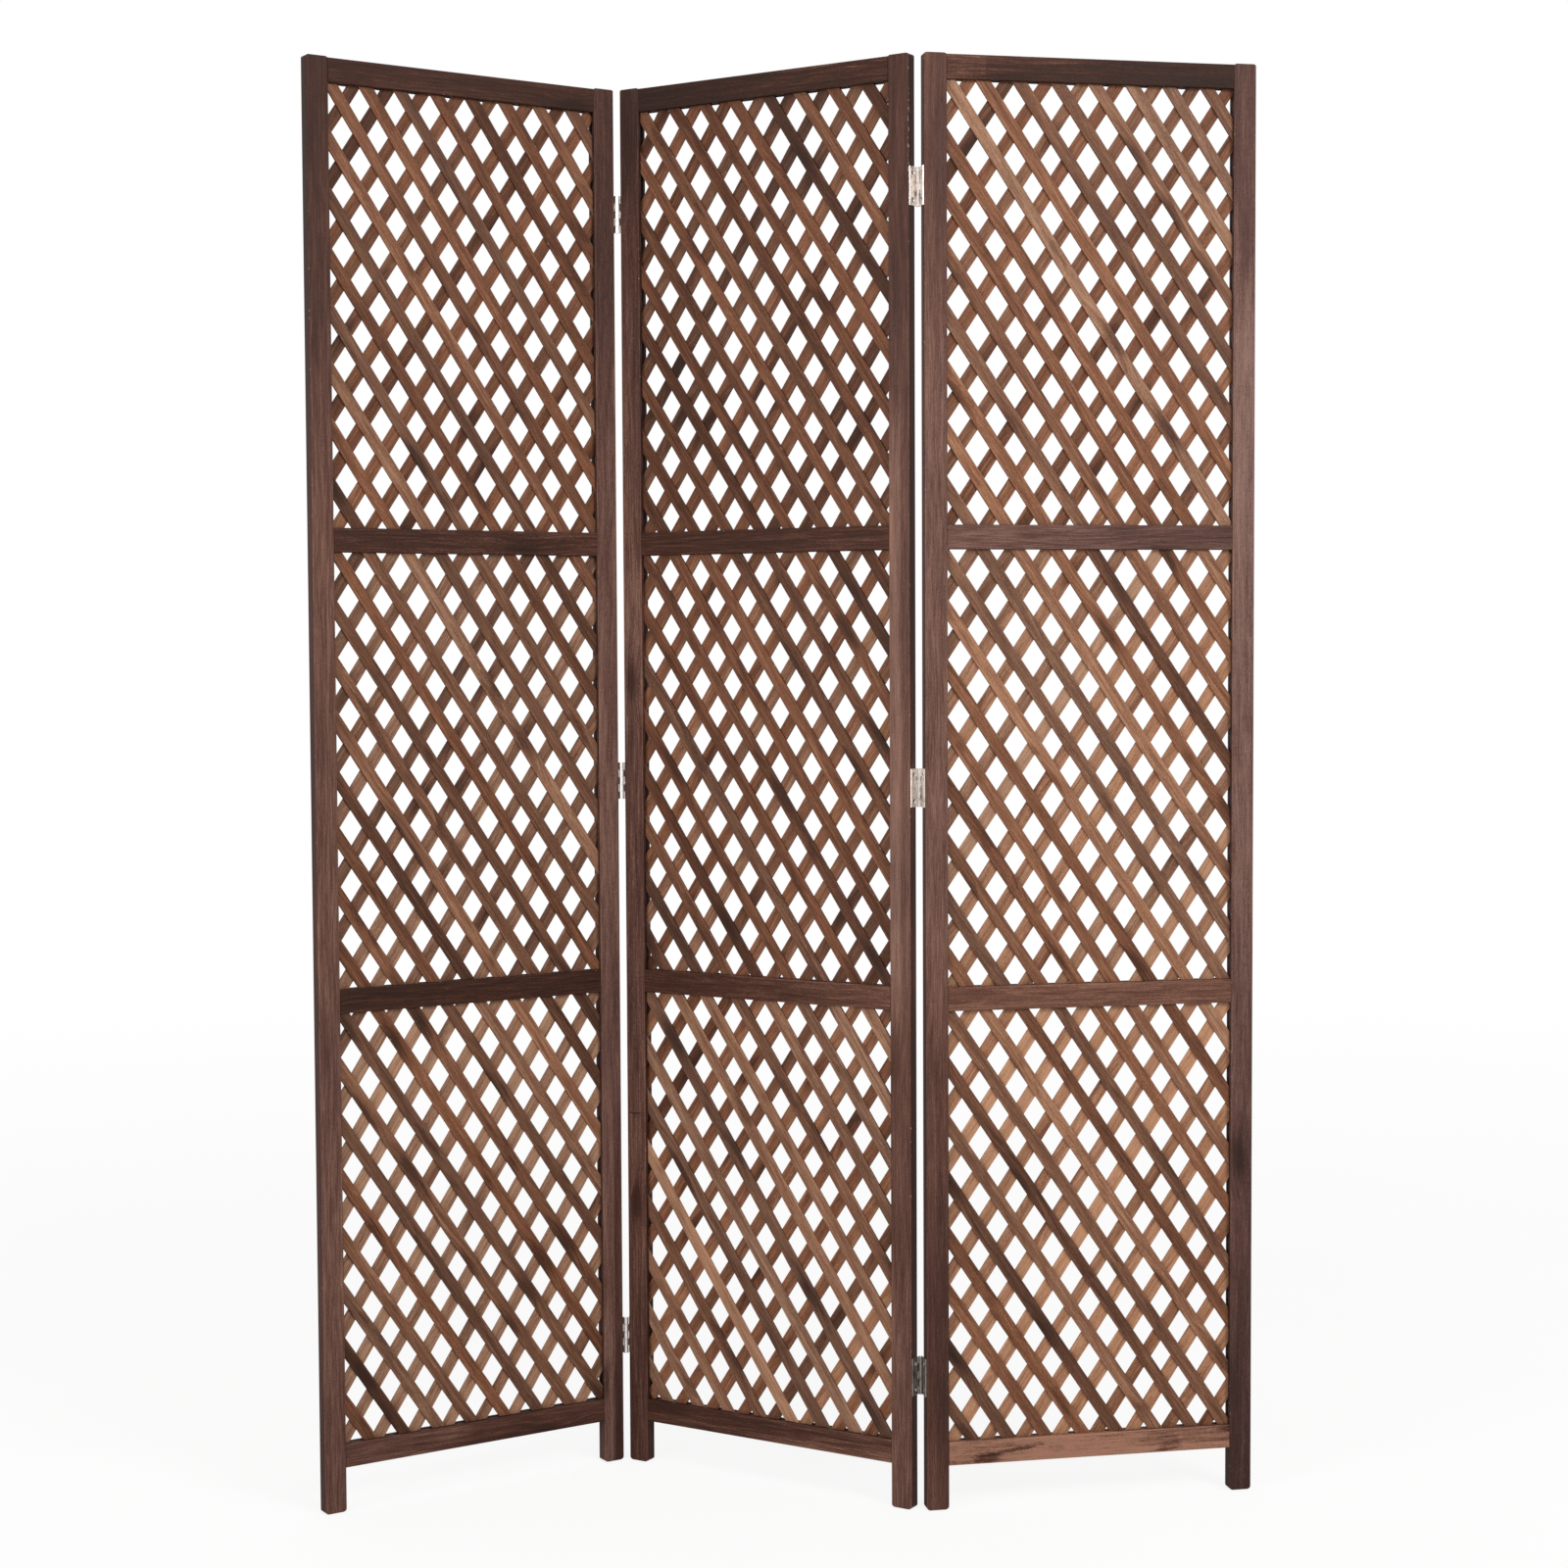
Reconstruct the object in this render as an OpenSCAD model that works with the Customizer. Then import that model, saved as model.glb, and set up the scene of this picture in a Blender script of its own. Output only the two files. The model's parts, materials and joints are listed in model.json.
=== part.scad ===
// Three-panel folding screen with a diagonal slat lattice.
// Each panel is a grooved frame of two stiles and four rails that holds three lattice
// fields. A field is two layers of flat slats laid across each other. Butt hinges on
// the stiles' edge faces join the panels, so that the screen stands in a zigzag and
// folds flat either way.
//
// A panel's own frame: X from its left edge to its right, Y from its front face to its
// rear face, Z up from the floor.

/* [Panels] */
// Height of a panel, floor to stile top
panel_h = 1700; // [1200:10:2100]
// Width of a panel over its two stiles
panel_w = 403; // [280:1:600]

/* [Standing pose] */
// Turn of the left panel from the picture plane, degrees
left_turn = 33; // [5:1:60]
// Turn of the middle panel from the picture plane, degrees
middle_turn = 31; // [5:1:60]
// Turn of the right panel from the picture plane, degrees
right_turn = 11.5; // [2:0.5:60]

/* [Frame] */
// Thickness of stiles and rails, front to back
frame_t = 15; // [13:0.5:26]
// Width of a stile, seen from the front
stile_w = 27.5; // [26:0.5:60]
// Height of a rail, seen from the front
rail_h = 28.5; // [22:0.5:70]
// Clear height under the bottom rail
foot_h = 52; // [20:1:150]
// How far the stiles stand above the top rail
horn_h = 1; // [0.5:0.5:20]
// Radius of the stiles' top corners, seen from the front
stile_top_r = 3.5; // [1:0.5:10]
// Radius of the stiles' foot corners, seen from the front
stile_foot_r = 5; // [1:0.5:10]
// Radius of the eased long edges of stiles and rails
edge_r = 1.4; // [0.5:0.1:2.5]

/* [Frame joints] */
// Depth of the groove that holds the slat ends
groove_d = 5; // [3:0.5:8]
// Length of a rail's tenon
tenon_l = 15; // [9:0.5:18]
// Glue room left at the end of a tenon
tenon_end_gap = 0.5; // [0.2:0.1:1.5]

/* [Lattice] */
// Width of a slat
slat_w = 14.9; // [8:0.1:20]
// Thickness of a slat
slat_t = 3; // [2:0.1:4]
// Distance between neighbouring slats of a layer, along a rail
slat_step_x = 45; // [32:0.5:70]
// Distance between neighbouring slats of a layer, along a stile
slat_step_z = 67; // [40:0.5:100]
// How far the slat ends reach into the groove
slat_seat = 4; // [2:0.1:4.5]
// Chamfer along a slat's outer edges
slat_chamfer = 0.6; // [0.2:0.1:1]

/* [Hinges] */
// Height of a hinge
hinge_h = 45; // [35:1:60]
// Height of the bottom hinges' centre above the floor
hinge_low_z = 158; // [130:1:250]
// Distance of the top hinges' centre below the stile top
hinge_top_drop = 151; // [110:1:250]
// Outer diameter of a hinge barrel
barrel_d = 5.6; // [5:0.1:6.4]
// Diameter of a hinge pin
pin_d = 2.8; // [2.2:0.1:3]
// Radial clearance of a pin in its knuckles
pin_fit = 0.05; // [0.02:0.01:0.1]
// Number of knuckles in a barrel
knuckles = 5; // [3:2:7]
// Axial gap between two knuckles
knuckle_gap = 0.3; // [0.2:0.05:0.6]
// Gap between a knuckle and the notch in the other leaf
notch_gap = 0.4; // [0.3:0.05:0.8]
// Thickness of a hinge leaf
leaf_t = 1.2; // [0.8:0.1:1.5]
// How much of the stile's thickness a leaf leaves bare
leaf_margin = 1.3; // [0.5:0.1:3]
// Distance of the barrel's axis from the panel's face
axis_proud = 2.4; // [1.5:0.1:4]

/* [Hinge screws] */
// Head diameter of a countersunk screw
screw_head_d = 5.6; // [4.5:0.1:6.5]
// Shank diameter of a screw
screw_d = 3; // [2.2:0.1:3.5]
// Length of a screw
screw_l = 16; // [10:0.5:18]
// Distance of a screw from the hinge's end
screw_inset = 7; // [5:0.5:9]
// Clearance round a screw in its hole
screw_fit = 0.05; // [0.02:0.01:0.1]

/* [Hidden] */

// Segments of a circle; every round here is a true round
round_fn = 48;
// How far a cutting solid runs past the face that it opens
overcut = 1;

// Panels
LEFT = 0;
MIDDLE = 1;
RIGHT = 2;

// Rails of a panel, counted from the floor
rail_count = 4;
BOTTOM = 0;
LOWER = 1;
UPPER = 2;
TOP = rail_count - 1;

// Lattice fields of a panel and hinges of a joint, counted from the floor
field_count = rail_count - 1;
LOW = 0;
MID = 1;
HIGH = field_count - 1;

// Sizes of a frame's openings
open_w = panel_w - 2 * stile_w;
open_h = (panel_h - horn_h - foot_h - rail_count * rail_h) / field_count;
function rail_z(level) = foot_h + level * (rail_h + open_h);
function field_z(field) = rail_z(field) + rail_h + open_h / 2;

// The groove is as wide as the two slat layers and lies in the middle of the frame
groove_w = 2 * slat_t;
groove_y = (frame_t - groove_w) / 2;
shoulder_h = groove_d;
tenon_h = rail_h - 2 * shoulder_h;

// Lattice: a layer's slats lean from the vertical by this angle, and slat number k
// crosses the field's middle lines at k steps from its centre
slat_lean = atan(slat_step_x / slat_step_z);
slat_across = slat_step_x * cos(slat_lean);
slat_reach = norm([open_w, open_h]) + 2 * slat_step_z;
slat_side_count = ceil(open_w / 2 / slat_step_x + open_h / 2 / slat_step_z) + 1;

// A slat is left out where less than its full width would show in the field's corner
slat_across_max = open_w / 2 * cos(slat_lean) + open_h / 2 * sin(slat_lean) - slat_w / 2;

// The fields are cut from larger lattices, so their crossings sit off the field's centre,
// right and up by these shares of a slat step; one row for each panel from the left and
// one pair for each field from the floor
field_phases = [
    [[0.01, 0.035], [0.055, -0.02], [0.065, 0]],
    [[-0.07, -0.015], [-0.03, -0.025], [0.03, -0.03]],
    [[0, -0.03], [-0.03, -0.09], [-0.035, 0]],
];
function field_shift(panel, field) = [
    field_phases[panel][field].x * slat_step_x,
    field_phases[panel][field].y * slat_step_z
];

// Hinges: the pin's axis lies one barrel radius from the stile's edge face and stands
// proud of the panel's face, at the front of the left joint and the rear of the right
axis_out = barrel_d / 2;
knuckle_h = hinge_h / knuckles;
leaf_reach = axis_proud + frame_t - leaf_margin;
hinge_z = [hinge_low_z, (hinge_low_z + panel_h - hinge_top_drop) / 2, panel_h - hinge_top_drop];

// The screws sit halfway between the middle of the leaf and the middle of the stile's edge
leaf_middle = (frame_t - leaf_margin) / 2;
screw_y = axis_proud + (leaf_middle + frame_t / 2) / 2;

// Hinge axes in the middle panel's frame
left_axis = [-axis_out, -axis_proud];
right_axis = [panel_w + axis_out, frame_t + axis_proud];

// Plan of the standing pose, with the middle panel's front left corner at zero
function turned(p, angle) = [p.x * cos(angle) - p.y * sin(angle), p.x * sin(angle) + p.y * cos(angle)];
left_pivot = turned(left_axis, -middle_turn);
right_pivot = turned(right_axis, -middle_turn);
left_corner = left_pivot + turned([-panel_w - axis_out, axis_proud], left_turn);
right_corner = right_pivot + turned([axis_out, -frame_t - axis_proud], right_turn);
function footprint(corner, angle) = [
    for (x = [0, panel_w], y = [0, frame_t]) corner + turned([x, y], angle)
];
plan = concat(
    footprint(left_corner, left_turn),
    footprint([0, 0], -middle_turn),
    footprint(right_corner, right_turn)
);
plan_x = [for (p = plan) p.x];
plan_y = [for (p = plan) p.y];
plan_centre = [(min(plan_x) + max(plan_x)) / 2, (min(plan_y) + max(plan_y)) / 2];

corners = [left_corner, [0, 0], right_corner];
turns = [left_turn, -middle_turn, right_turn];

// Colours
frame_colour = [0.36, 0.25, 0.22];
front_slat_colour = [0.48, 0.32, 0.23];
rear_slat_colour = [0.42, 0.27, 0.19];
hinge_colour = [0.78, 0.76, 0.72];
screw_colour = [0.62, 0.61, 0.58];

// Places its children, drawn in a panel's own frame, where that panel stands
module on_panel(panel) {
    corner = corners[panel] - plan_centre;
    translate([corner.x, corner.y, 0])
        rotate([0, 0, turns[panel]])
            children();
}

// A rectangle from the origin with rounded corners
module rounded_rectangle(w, h, r) {
    translate([r, 0])
        square([w - 2 * r, h]);
    translate([0, r])
        square([w, h - 2 * r]);
    for (x = [r, w - r], y = [r, h - r])
        translate([x, y])
            circle(r = r, $fn = round_fn);
}

// ---- Stiles ----

// A stile's outline from the front, with rounder corners at the foot than at the top
module stile_outline() {
    translate([stile_foot_r, 0])
        square([stile_w - 2 * stile_foot_r, panel_h / 2]);
    translate([0, stile_foot_r])
        square([stile_w, panel_h - stile_foot_r - stile_top_r]);
    translate([stile_top_r, panel_h / 2])
        square([stile_w - 2 * stile_top_r, panel_h / 2]);
    for (x = [stile_foot_r, stile_w - stile_foot_r])
        translate([x, stile_foot_r])
            circle(r = stile_foot_r, $fn = round_fn);
    for (x = [stile_top_r, stile_w - stile_top_r])
        translate([x, panel_h - stile_top_r])
            circle(r = stile_top_r, $fn = round_fn);
}

// The solid bar, before any joint is cut
module stile_blank() {
    intersection() {
        linear_extrude(height = panel_h)
            rounded_rectangle(stile_w, frame_t, edge_r);
        translate([0, frame_t, 0])
            rotate([90, 0, 0])
                linear_extrude(height = frame_t)
                    stile_outline();
    }
}

// What is cut from the inner edge, at x = stile_w: the groove and four mortises
module stile_joinery() {
    groove_low = foot_h + shoulder_h;
    groove_high = panel_h - horn_h - shoulder_h;
    translate([stile_w - groove_d, groove_y, groove_low])
        cube([groove_d + overcut, groove_w, groove_high - groove_low]);
    mortise_l = tenon_l + tenon_end_gap;
    for (level = [BOTTOM : TOP])
        translate([stile_w - mortise_l, groove_y, rail_z(level) + shoulder_h])
            cube([mortise_l + overcut, groove_w, tenon_h]);
}

// Pilot holes in the outer edge, at x = 0, for hinges on the front or the rear side
module pilot_holes(at_rear) {
    y = at_rear ? frame_t + axis_proud - screw_y : screw_y - axis_proud;
    for (level = [LOW : HIGH], end = [-1, 1])
        translate([-overcut, y, hinge_z[level] + end * (hinge_h / 2 - screw_inset)])
            rotate([0, 90, 0])
                cylinder(d = screw_d + 2 * screw_fit, h = overcut + screw_l, $fn = round_fn);
}

// A stile with its inner edge to the right, or mirrored for the panel's right side
module stile(panel, right_side) {
    hinged = panel == MIDDLE || (panel == LEFT) == right_side;
    rear_hinges = right_side ? panel == MIDDLE : panel == RIGHT;
    color(frame_colour)
        on_panel(panel)
            translate([right_side ? panel_w : 0, 0, 0])
                mirror([right_side ? 1 : 0, 0, 0])
                    difference() {
                        stile_blank();
                        stile_joinery();
                        if (hinged)
                            pilot_holes(rear_hinges);
                    }
}

// ---- Rails ----

// A rail's section, with a groove in each edge that faces a lattice field
module rail_section(level) {
    difference() {
        rounded_rectangle(frame_t, rail_h, edge_r);
        if (level > BOTTOM)
            translate([groove_y, -overcut])
                square([groove_w, groove_d + overcut]);
        if (level < TOP)
            translate([groove_y, rail_h - groove_d])
                square([groove_w, groove_d + overcut]);
    }
}

// A rail between the stiles, with a tenon at each end
module rail(panel, level) {
    color(frame_colour)
        on_panel(panel)
            translate([stile_w, 0, rail_z(level)])
                union() {
                    rotate([90, 0, 90])
                        linear_extrude(height = open_w)
                            rail_section(level);
                    translate([-tenon_l, groove_y, shoulder_h])
                        cube([open_w + 2 * tenon_l, groove_w, tenon_h]);
                }
}

// ---- Lattice ----

// A slat's section, thickness along Y from zero, chamfered on the face at y = 0
module slat_section() {
    half = slat_w / 2;
    polygon([
        [-half + slat_chamfer, 0],
        [half - slat_chamfer, 0],
        [half, slat_chamfer],
        [half, slat_t],
        [-half, slat_t],
        [-half, slat_chamfer]
    ]);
}

// Slat number k of a layer at an angle from the vertical, with the field's centre at zero
module slat(k, lean, shift) {
    intersection() {
        translate([shift.x, 0, shift.y])
            rotate([0, lean, 0])
                translate([k * slat_across, 0, -slat_reach / 2])
                    linear_extrude(height = slat_reach)
                        slat_section();
        translate([-open_w / 2 - slat_seat, 0, -open_h / 2 - slat_seat])
            cube([open_w + 2 * slat_seat, slat_t, open_h + 2 * slat_seat]);
    }
}

// One layer of a field: its slats are cut off along a rectangle that fills the grooves
module slat_layer(lean, shift) {
    shift_across = shift.x * cos(lean) - shift.y * sin(lean);
    for (k = [-slat_side_count : slat_side_count])
        if (abs(k * slat_across + shift_across) <= slat_across_max)
            slat(k, lean, shift);
}

// The front layer leans to the left, with its chamfers at the front
module front_slats(panel, field) {
    color(front_slat_colour)
        on_panel(panel)
            translate([panel_w / 2, groove_y, field_z(field)])
                slat_layer(-slat_lean, field_shift(panel, field));
}

// The rear layer leans to the right, with its chamfers at the rear
module rear_slats(panel, field) {
    color(rear_slat_colour)
        on_panel(panel)
            translate([panel_w / 2, groove_y + groove_w, field_z(field)])
                mirror([0, 1, 0])
                    slat_layer(slat_lean, field_shift(panel, field));
}

// ---- Hinges ----
// A hinge's own frame: the pin's axis is Z with the hinge's middle at zero. The leaf
// lies against a stile's edge face at x = axis_out and reaches along +Y.

function knuckle_low(i) = -hinge_h / 2 + i * knuckle_h + (i > 0 ? knuckle_gap / 2 : 0);
function knuckle_high(i) = -hinge_h / 2 + (i + 1) * knuckle_h - (i < knuckles - 1 ? knuckle_gap / 2 : 0);

// The leaf that carries knuckles first, first + 2 and so on
module hinge_leaf(first) {
    notch_y = axis_out + notch_gap;
    difference() {
        union() {
            translate([axis_out - leaf_t, notch_y, -hinge_h / 2])
                cube([leaf_t, leaf_reach - notch_y, hinge_h]);
            for (i = [first : 2 : knuckles - 1])
                translate([0, 0, knuckle_low(i)]) {
                    tall = knuckle_high(i) - knuckle_low(i);
                    cylinder(d = barrel_d, h = tall, $fn = round_fn);
                    translate([axis_out - leaf_t, 0, 0])
                        cube([leaf_t, notch_y, tall]);
                }
        }
        translate([0, 0, -hinge_h / 2 - overcut])
            cylinder(d = pin_d + 2 * pin_fit, h = hinge_h + 2 * overcut, $fn = round_fn);
        for (end = [-1, 1])
            translate([axis_out - leaf_t, screw_y, end * (hinge_h / 2 - screw_inset)])
                rotate([0, 90, 0])
                    screw_body(screw_fit);
    }
}

// A countersunk screw along +Z, its head flush at z = 0, grown by a clearance
module screw_body(grow) {
    cylinder(d1 = screw_head_d + 2 * grow, d2 = screw_d + 2 * grow, h = leaf_t, $fn = round_fn);
    cylinder(d = screw_d + 2 * grow, h = screw_l - grow, $fn = round_fn);
}

// Places its children, drawn in a hinge's frame, at a panel's hinge. A panel's left
// side has x as drawn and its right side is mirrored, and so is y at the rear.
module at_hinge(panel, right_side, at_rear, level) {
    on_panel(panel)
        translate([
            right_side ? panel_w + axis_out : -axis_out,
            at_rear ? frame_t + axis_proud : -axis_proud,
            hinge_z[level]
        ])
            mirror([right_side ? 1 : 0, 0, 0])
                mirror([0, at_rear ? 1 : 0, 0])
                    children();
}

// The left joint has its barrels at the front, the right joint at the rear. An outer
// leaf is on an outer panel and has one knuckle more than the inner leaf.
module outer_leaf(panel, level) {
    color(hinge_colour)
        at_hinge(panel, panel == LEFT, panel == RIGHT, level)
            hinge_leaf(0);
}

module inner_leaf(panel, level) {
    color(hinge_colour)
        at_hinge(MIDDLE, panel == RIGHT, panel == RIGHT, level)
            hinge_leaf(1);
}

module hinge_pin(panel, level) {
    color(screw_colour)
        at_hinge(MIDDLE, panel == RIGHT, panel == RIGHT, level)
            translate([0, 0, -hinge_h / 2])
                cylinder(d = pin_d, h = hinge_h, $fn = round_fn);
}

// The six screws of one stile's leaves
module hinge_screws(panel, right_side, at_rear) {
    color(screw_colour)
        for (level = [LOW : HIGH], end = [-1, 1])
            at_hinge(panel, right_side, at_rear, level)
                translate([axis_out - leaf_t, screw_y, end * (hinge_h / 2 - screw_inset)])
                    rotate([0, 90, 0])
                        screw_body(0);
}

stile(LEFT, false);  // left_panel_left_stile
stile(LEFT, true);  // left_panel_right_stile
rail(LEFT, TOP);  // left_panel_top_rail
rail(LEFT, UPPER);  // left_panel_upper_rail
rail(LEFT, LOWER);  // left_panel_lower_rail
rail(LEFT, BOTTOM);  // left_panel_bottom_rail
front_slats(LEFT, HIGH);  // left_panel_top_front_slats
rear_slats(LEFT, HIGH);  // left_panel_top_rear_slats
front_slats(LEFT, MID);  // left_panel_middle_front_slats
rear_slats(LEFT, MID);  // left_panel_middle_rear_slats
front_slats(LEFT, LOW);  // left_panel_bottom_front_slats
rear_slats(LEFT, LOW);  // left_panel_bottom_rear_slats
stile(MIDDLE, false);  // middle_panel_left_stile
stile(MIDDLE, true);  // middle_panel_right_stile
rail(MIDDLE, TOP);  // middle_panel_top_rail
rail(MIDDLE, UPPER);  // middle_panel_upper_rail
rail(MIDDLE, LOWER);  // middle_panel_lower_rail
rail(MIDDLE, BOTTOM);  // middle_panel_bottom_rail
front_slats(MIDDLE, HIGH);  // middle_panel_top_front_slats
rear_slats(MIDDLE, HIGH);  // middle_panel_top_rear_slats
front_slats(MIDDLE, MID);  // middle_panel_middle_front_slats
rear_slats(MIDDLE, MID);  // middle_panel_middle_rear_slats
front_slats(MIDDLE, LOW);  // middle_panel_bottom_front_slats
rear_slats(MIDDLE, LOW);  // middle_panel_bottom_rear_slats
stile(RIGHT, false);  // right_panel_left_stile
stile(RIGHT, true);  // right_panel_right_stile
rail(RIGHT, TOP);  // right_panel_top_rail
rail(RIGHT, UPPER);  // right_panel_upper_rail
rail(RIGHT, LOWER);  // right_panel_lower_rail
rail(RIGHT, BOTTOM);  // right_panel_bottom_rail
front_slats(RIGHT, HIGH);  // right_panel_top_front_slats
rear_slats(RIGHT, HIGH);  // right_panel_top_rear_slats
front_slats(RIGHT, MID);  // right_panel_middle_front_slats
rear_slats(RIGHT, MID);  // right_panel_middle_rear_slats
front_slats(RIGHT, LOW);  // right_panel_bottom_front_slats
rear_slats(RIGHT, LOW);  // right_panel_bottom_rear_slats
outer_leaf(LEFT, HIGH);  // left_hinge_top_outer_leaf
inner_leaf(LEFT, HIGH);  // left_hinge_top_inner_leaf
hinge_pin(LEFT, HIGH);  // left_hinge_top_pin
outer_leaf(LEFT, MID);  // left_hinge_middle_outer_leaf
inner_leaf(LEFT, MID);  // left_hinge_middle_inner_leaf
hinge_pin(LEFT, MID);  // left_hinge_middle_pin
outer_leaf(LEFT, LOW);  // left_hinge_bottom_outer_leaf
inner_leaf(LEFT, LOW);  // left_hinge_bottom_inner_leaf
hinge_pin(LEFT, LOW);  // left_hinge_bottom_pin
outer_leaf(RIGHT, HIGH);  // right_hinge_top_outer_leaf
inner_leaf(RIGHT, HIGH);  // right_hinge_top_inner_leaf
hinge_pin(RIGHT, HIGH);  // right_hinge_top_pin
outer_leaf(RIGHT, MID);  // right_hinge_middle_outer_leaf
inner_leaf(RIGHT, MID);  // right_hinge_middle_inner_leaf
hinge_pin(RIGHT, MID);  // right_hinge_middle_pin
outer_leaf(RIGHT, LOW);  // right_hinge_bottom_outer_leaf
inner_leaf(RIGHT, LOW);  // right_hinge_bottom_inner_leaf
hinge_pin(RIGHT, LOW);  // right_hinge_bottom_pin
hinge_screws(LEFT, true, false);  // left_panel_hinge_screws
hinge_screws(MIDDLE, false, false);  // middle_panel_left_hinge_screws
hinge_screws(MIDDLE, true, true);  // middle_panel_right_hinge_screws
hinge_screws(RIGHT, false, true);  // right_panel_hinge_screws
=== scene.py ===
"""Looks of the three-panel folding screen: stained wood frame, slat lattice, nickel hinges."""

import json
import math
import random

import bmesh
import bpy
from mathutils import Euler, Matrix, Vector


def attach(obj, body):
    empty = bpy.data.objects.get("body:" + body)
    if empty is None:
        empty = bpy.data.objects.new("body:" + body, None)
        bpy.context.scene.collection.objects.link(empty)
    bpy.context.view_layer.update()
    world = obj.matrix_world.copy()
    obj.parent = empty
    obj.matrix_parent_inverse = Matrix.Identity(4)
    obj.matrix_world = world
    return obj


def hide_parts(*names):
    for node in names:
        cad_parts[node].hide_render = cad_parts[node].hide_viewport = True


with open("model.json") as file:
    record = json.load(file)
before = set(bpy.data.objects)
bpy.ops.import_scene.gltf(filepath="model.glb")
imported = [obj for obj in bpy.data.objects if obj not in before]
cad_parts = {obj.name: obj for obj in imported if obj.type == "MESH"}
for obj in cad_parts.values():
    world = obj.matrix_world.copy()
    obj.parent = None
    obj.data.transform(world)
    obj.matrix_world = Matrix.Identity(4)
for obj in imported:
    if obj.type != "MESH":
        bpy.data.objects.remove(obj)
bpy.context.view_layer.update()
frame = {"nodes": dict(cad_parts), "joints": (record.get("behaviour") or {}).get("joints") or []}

# ---- Sizes of the screen, in metres and degrees ----
PANEL_H = 1.7
PANEL_W = 0.403
FRAME_T = 0.015
STILE_W = 0.0275
RAIL_H = 0.0285
FOOT_H = 0.052
HORN_H = 0.001
SLAT_W = 0.0149
SLAT_T = 0.003
SLAT_STEP_X = 0.045
SLAT_STEP_Z = 0.067
SLAT_SEAT = 0.004
AXIS_OUT = 0.0028
AXIS_PROUD = 0.0024
LEAF_T = 0.0012
LEAF_MARGIN = 0.0013
HINGE_H = 0.045
HINGE_LOW_Z = 0.158
HINGE_TOP_DROP = 0.151
SCREW_D = 0.003
SCREW_L = 0.016
SCREW_INSET = 0.007
TURNS = {"left": 33, "middle": -31, "right": 11.5}

PANELS = ("left", "middle", "right")
RAILS = ("bottom", "lower", "upper", "top")
FIELDS = ("bottom", "middle", "top")

OPEN_W = PANEL_W - 2 * STILE_W
OPEN_H = (PANEL_H - HORN_H - FOOT_H - len(RAILS) * RAIL_H) / len(FIELDS)
SLAT_LEAN = math.atan(SLAT_STEP_X / SLAT_STEP_Z)
SLAT_ACROSS = SLAT_STEP_X * math.cos(SLAT_LEAN)
SLATS_TO_A_SIDE = int(OPEN_W / 2 / SLAT_STEP_X + OPEN_H / 2 / SLAT_STEP_Z)

HINGE_TOP_Z = PANEL_H - HINGE_TOP_DROP
HINGE_Z = (HINGE_LOW_Z, (HINGE_LOW_Z + HINGE_TOP_Z) / 2, HINGE_TOP_Z)
LEAF_MIDDLE = (FRAME_T - LEAF_MARGIN) / 2
SCREW_Y = (LEAF_MIDDLE + FRAME_T / 2) / 2
SCREW_APART = HINGE_H - 2 * SCREW_INSET

# How far a field's crossings sit off its centre, right and up in slat steps, from the floor up
FIELD_PHASES = {
    "left": ((0.01, 0.035), (0.055, -0.02), (0.065, 0)),
    "middle": ((-0.07, -0.015), (-0.03, -0.025), (0.03, -0.03)),
    "right": ((0, -0.03), (-0.03, -0.09), (-0.035, 0)),
}


def rail_z(level):
    """Height of a rail's lower edge, counted from the floor."""
    return FOOT_H + level * (RAIL_H + OPEN_H)


def panel_places():
    """Matrix of each panel's own frame: X to the right, Y to the rear, Z up."""
    pivots = {joint["name"]: Vector(joint["pos_m"]) for joint in frame["joints"]}
    known_points = {
        "left": (pivots["left_fold"], (PANEL_W + AXIS_OUT, -AXIS_PROUD)),
        "middle": (pivots["left_fold"], (-AXIS_OUT, -AXIS_PROUD)),
        "right": (pivots["right_fold"], (-AXIS_OUT, FRAME_T + AXIS_PROUD)),
    }
    places = {}
    for panel, (pivot, local) in known_points.items():
        turn = Matrix.Rotation(math.radians(TURNS[panel]), 4, "Z")
        corner = Vector((pivot.x, pivot.y, 0)) - turn @ Vector((*local, 0))
        places[panel] = Matrix.Translation(corner) @ turn
    return places


PLACES = panel_places()


# ---- Camera, light and floor ----

CAMERA_AT = (0.0115, -3.290, 1.025)
CAMERA_PITCH = -2.980
CAMERA_YAW = 0.272
CAMERA_ROLL = -0.278
CAMERA_LENS = 62.892
CAMERA_SENSOR = 36

# Place, size and watts of each softbox, and the point that both face
SOFTBOXES = {
    "key": ((2.2, -2.6, 2.7), (1.3, 1.2), 56),
    "fill": ((-2.5, -2.5, 1.6), (1.3, 1.6), 38),
}
LIT_POINT = (0, 0, 0.9)
AMBIENT = 0.52

FLOOR_HALF = 9.0
FLOOR_DROP = 0.0002
FLOOR_SHADES = ((0.3, (0.80, 0.80, 0.79)), (0.7, (0.84, 0.84, 0.83)))
# Distances from the screen between which the floor fades to white
FLOOR_FADE = (0.6, 5.5)
# How white the floor is to the camera, and its glow, near the screen
FLOOR_WHITE_SHARE = 0.80
FLOOR_GLOW = 1.066


def make_camera():
    data = bpy.data.cameras.new("camera")
    data.lens = CAMERA_LENS
    data.sensor_width = CAMERA_SENSOR
    camera = bpy.data.objects.new("camera", data)
    aim = Euler((math.radians(90 + CAMERA_PITCH), 0, math.radians(CAMERA_YAW)), "XYZ").to_matrix()
    roll = Matrix.Rotation(math.radians(CAMERA_ROLL), 3, "Z")
    camera.matrix_world = Matrix.Translation(CAMERA_AT) @ (aim @ roll).to_4x4()
    bpy.context.scene.collection.objects.link(camera)
    bpy.context.scene.camera = camera


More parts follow.
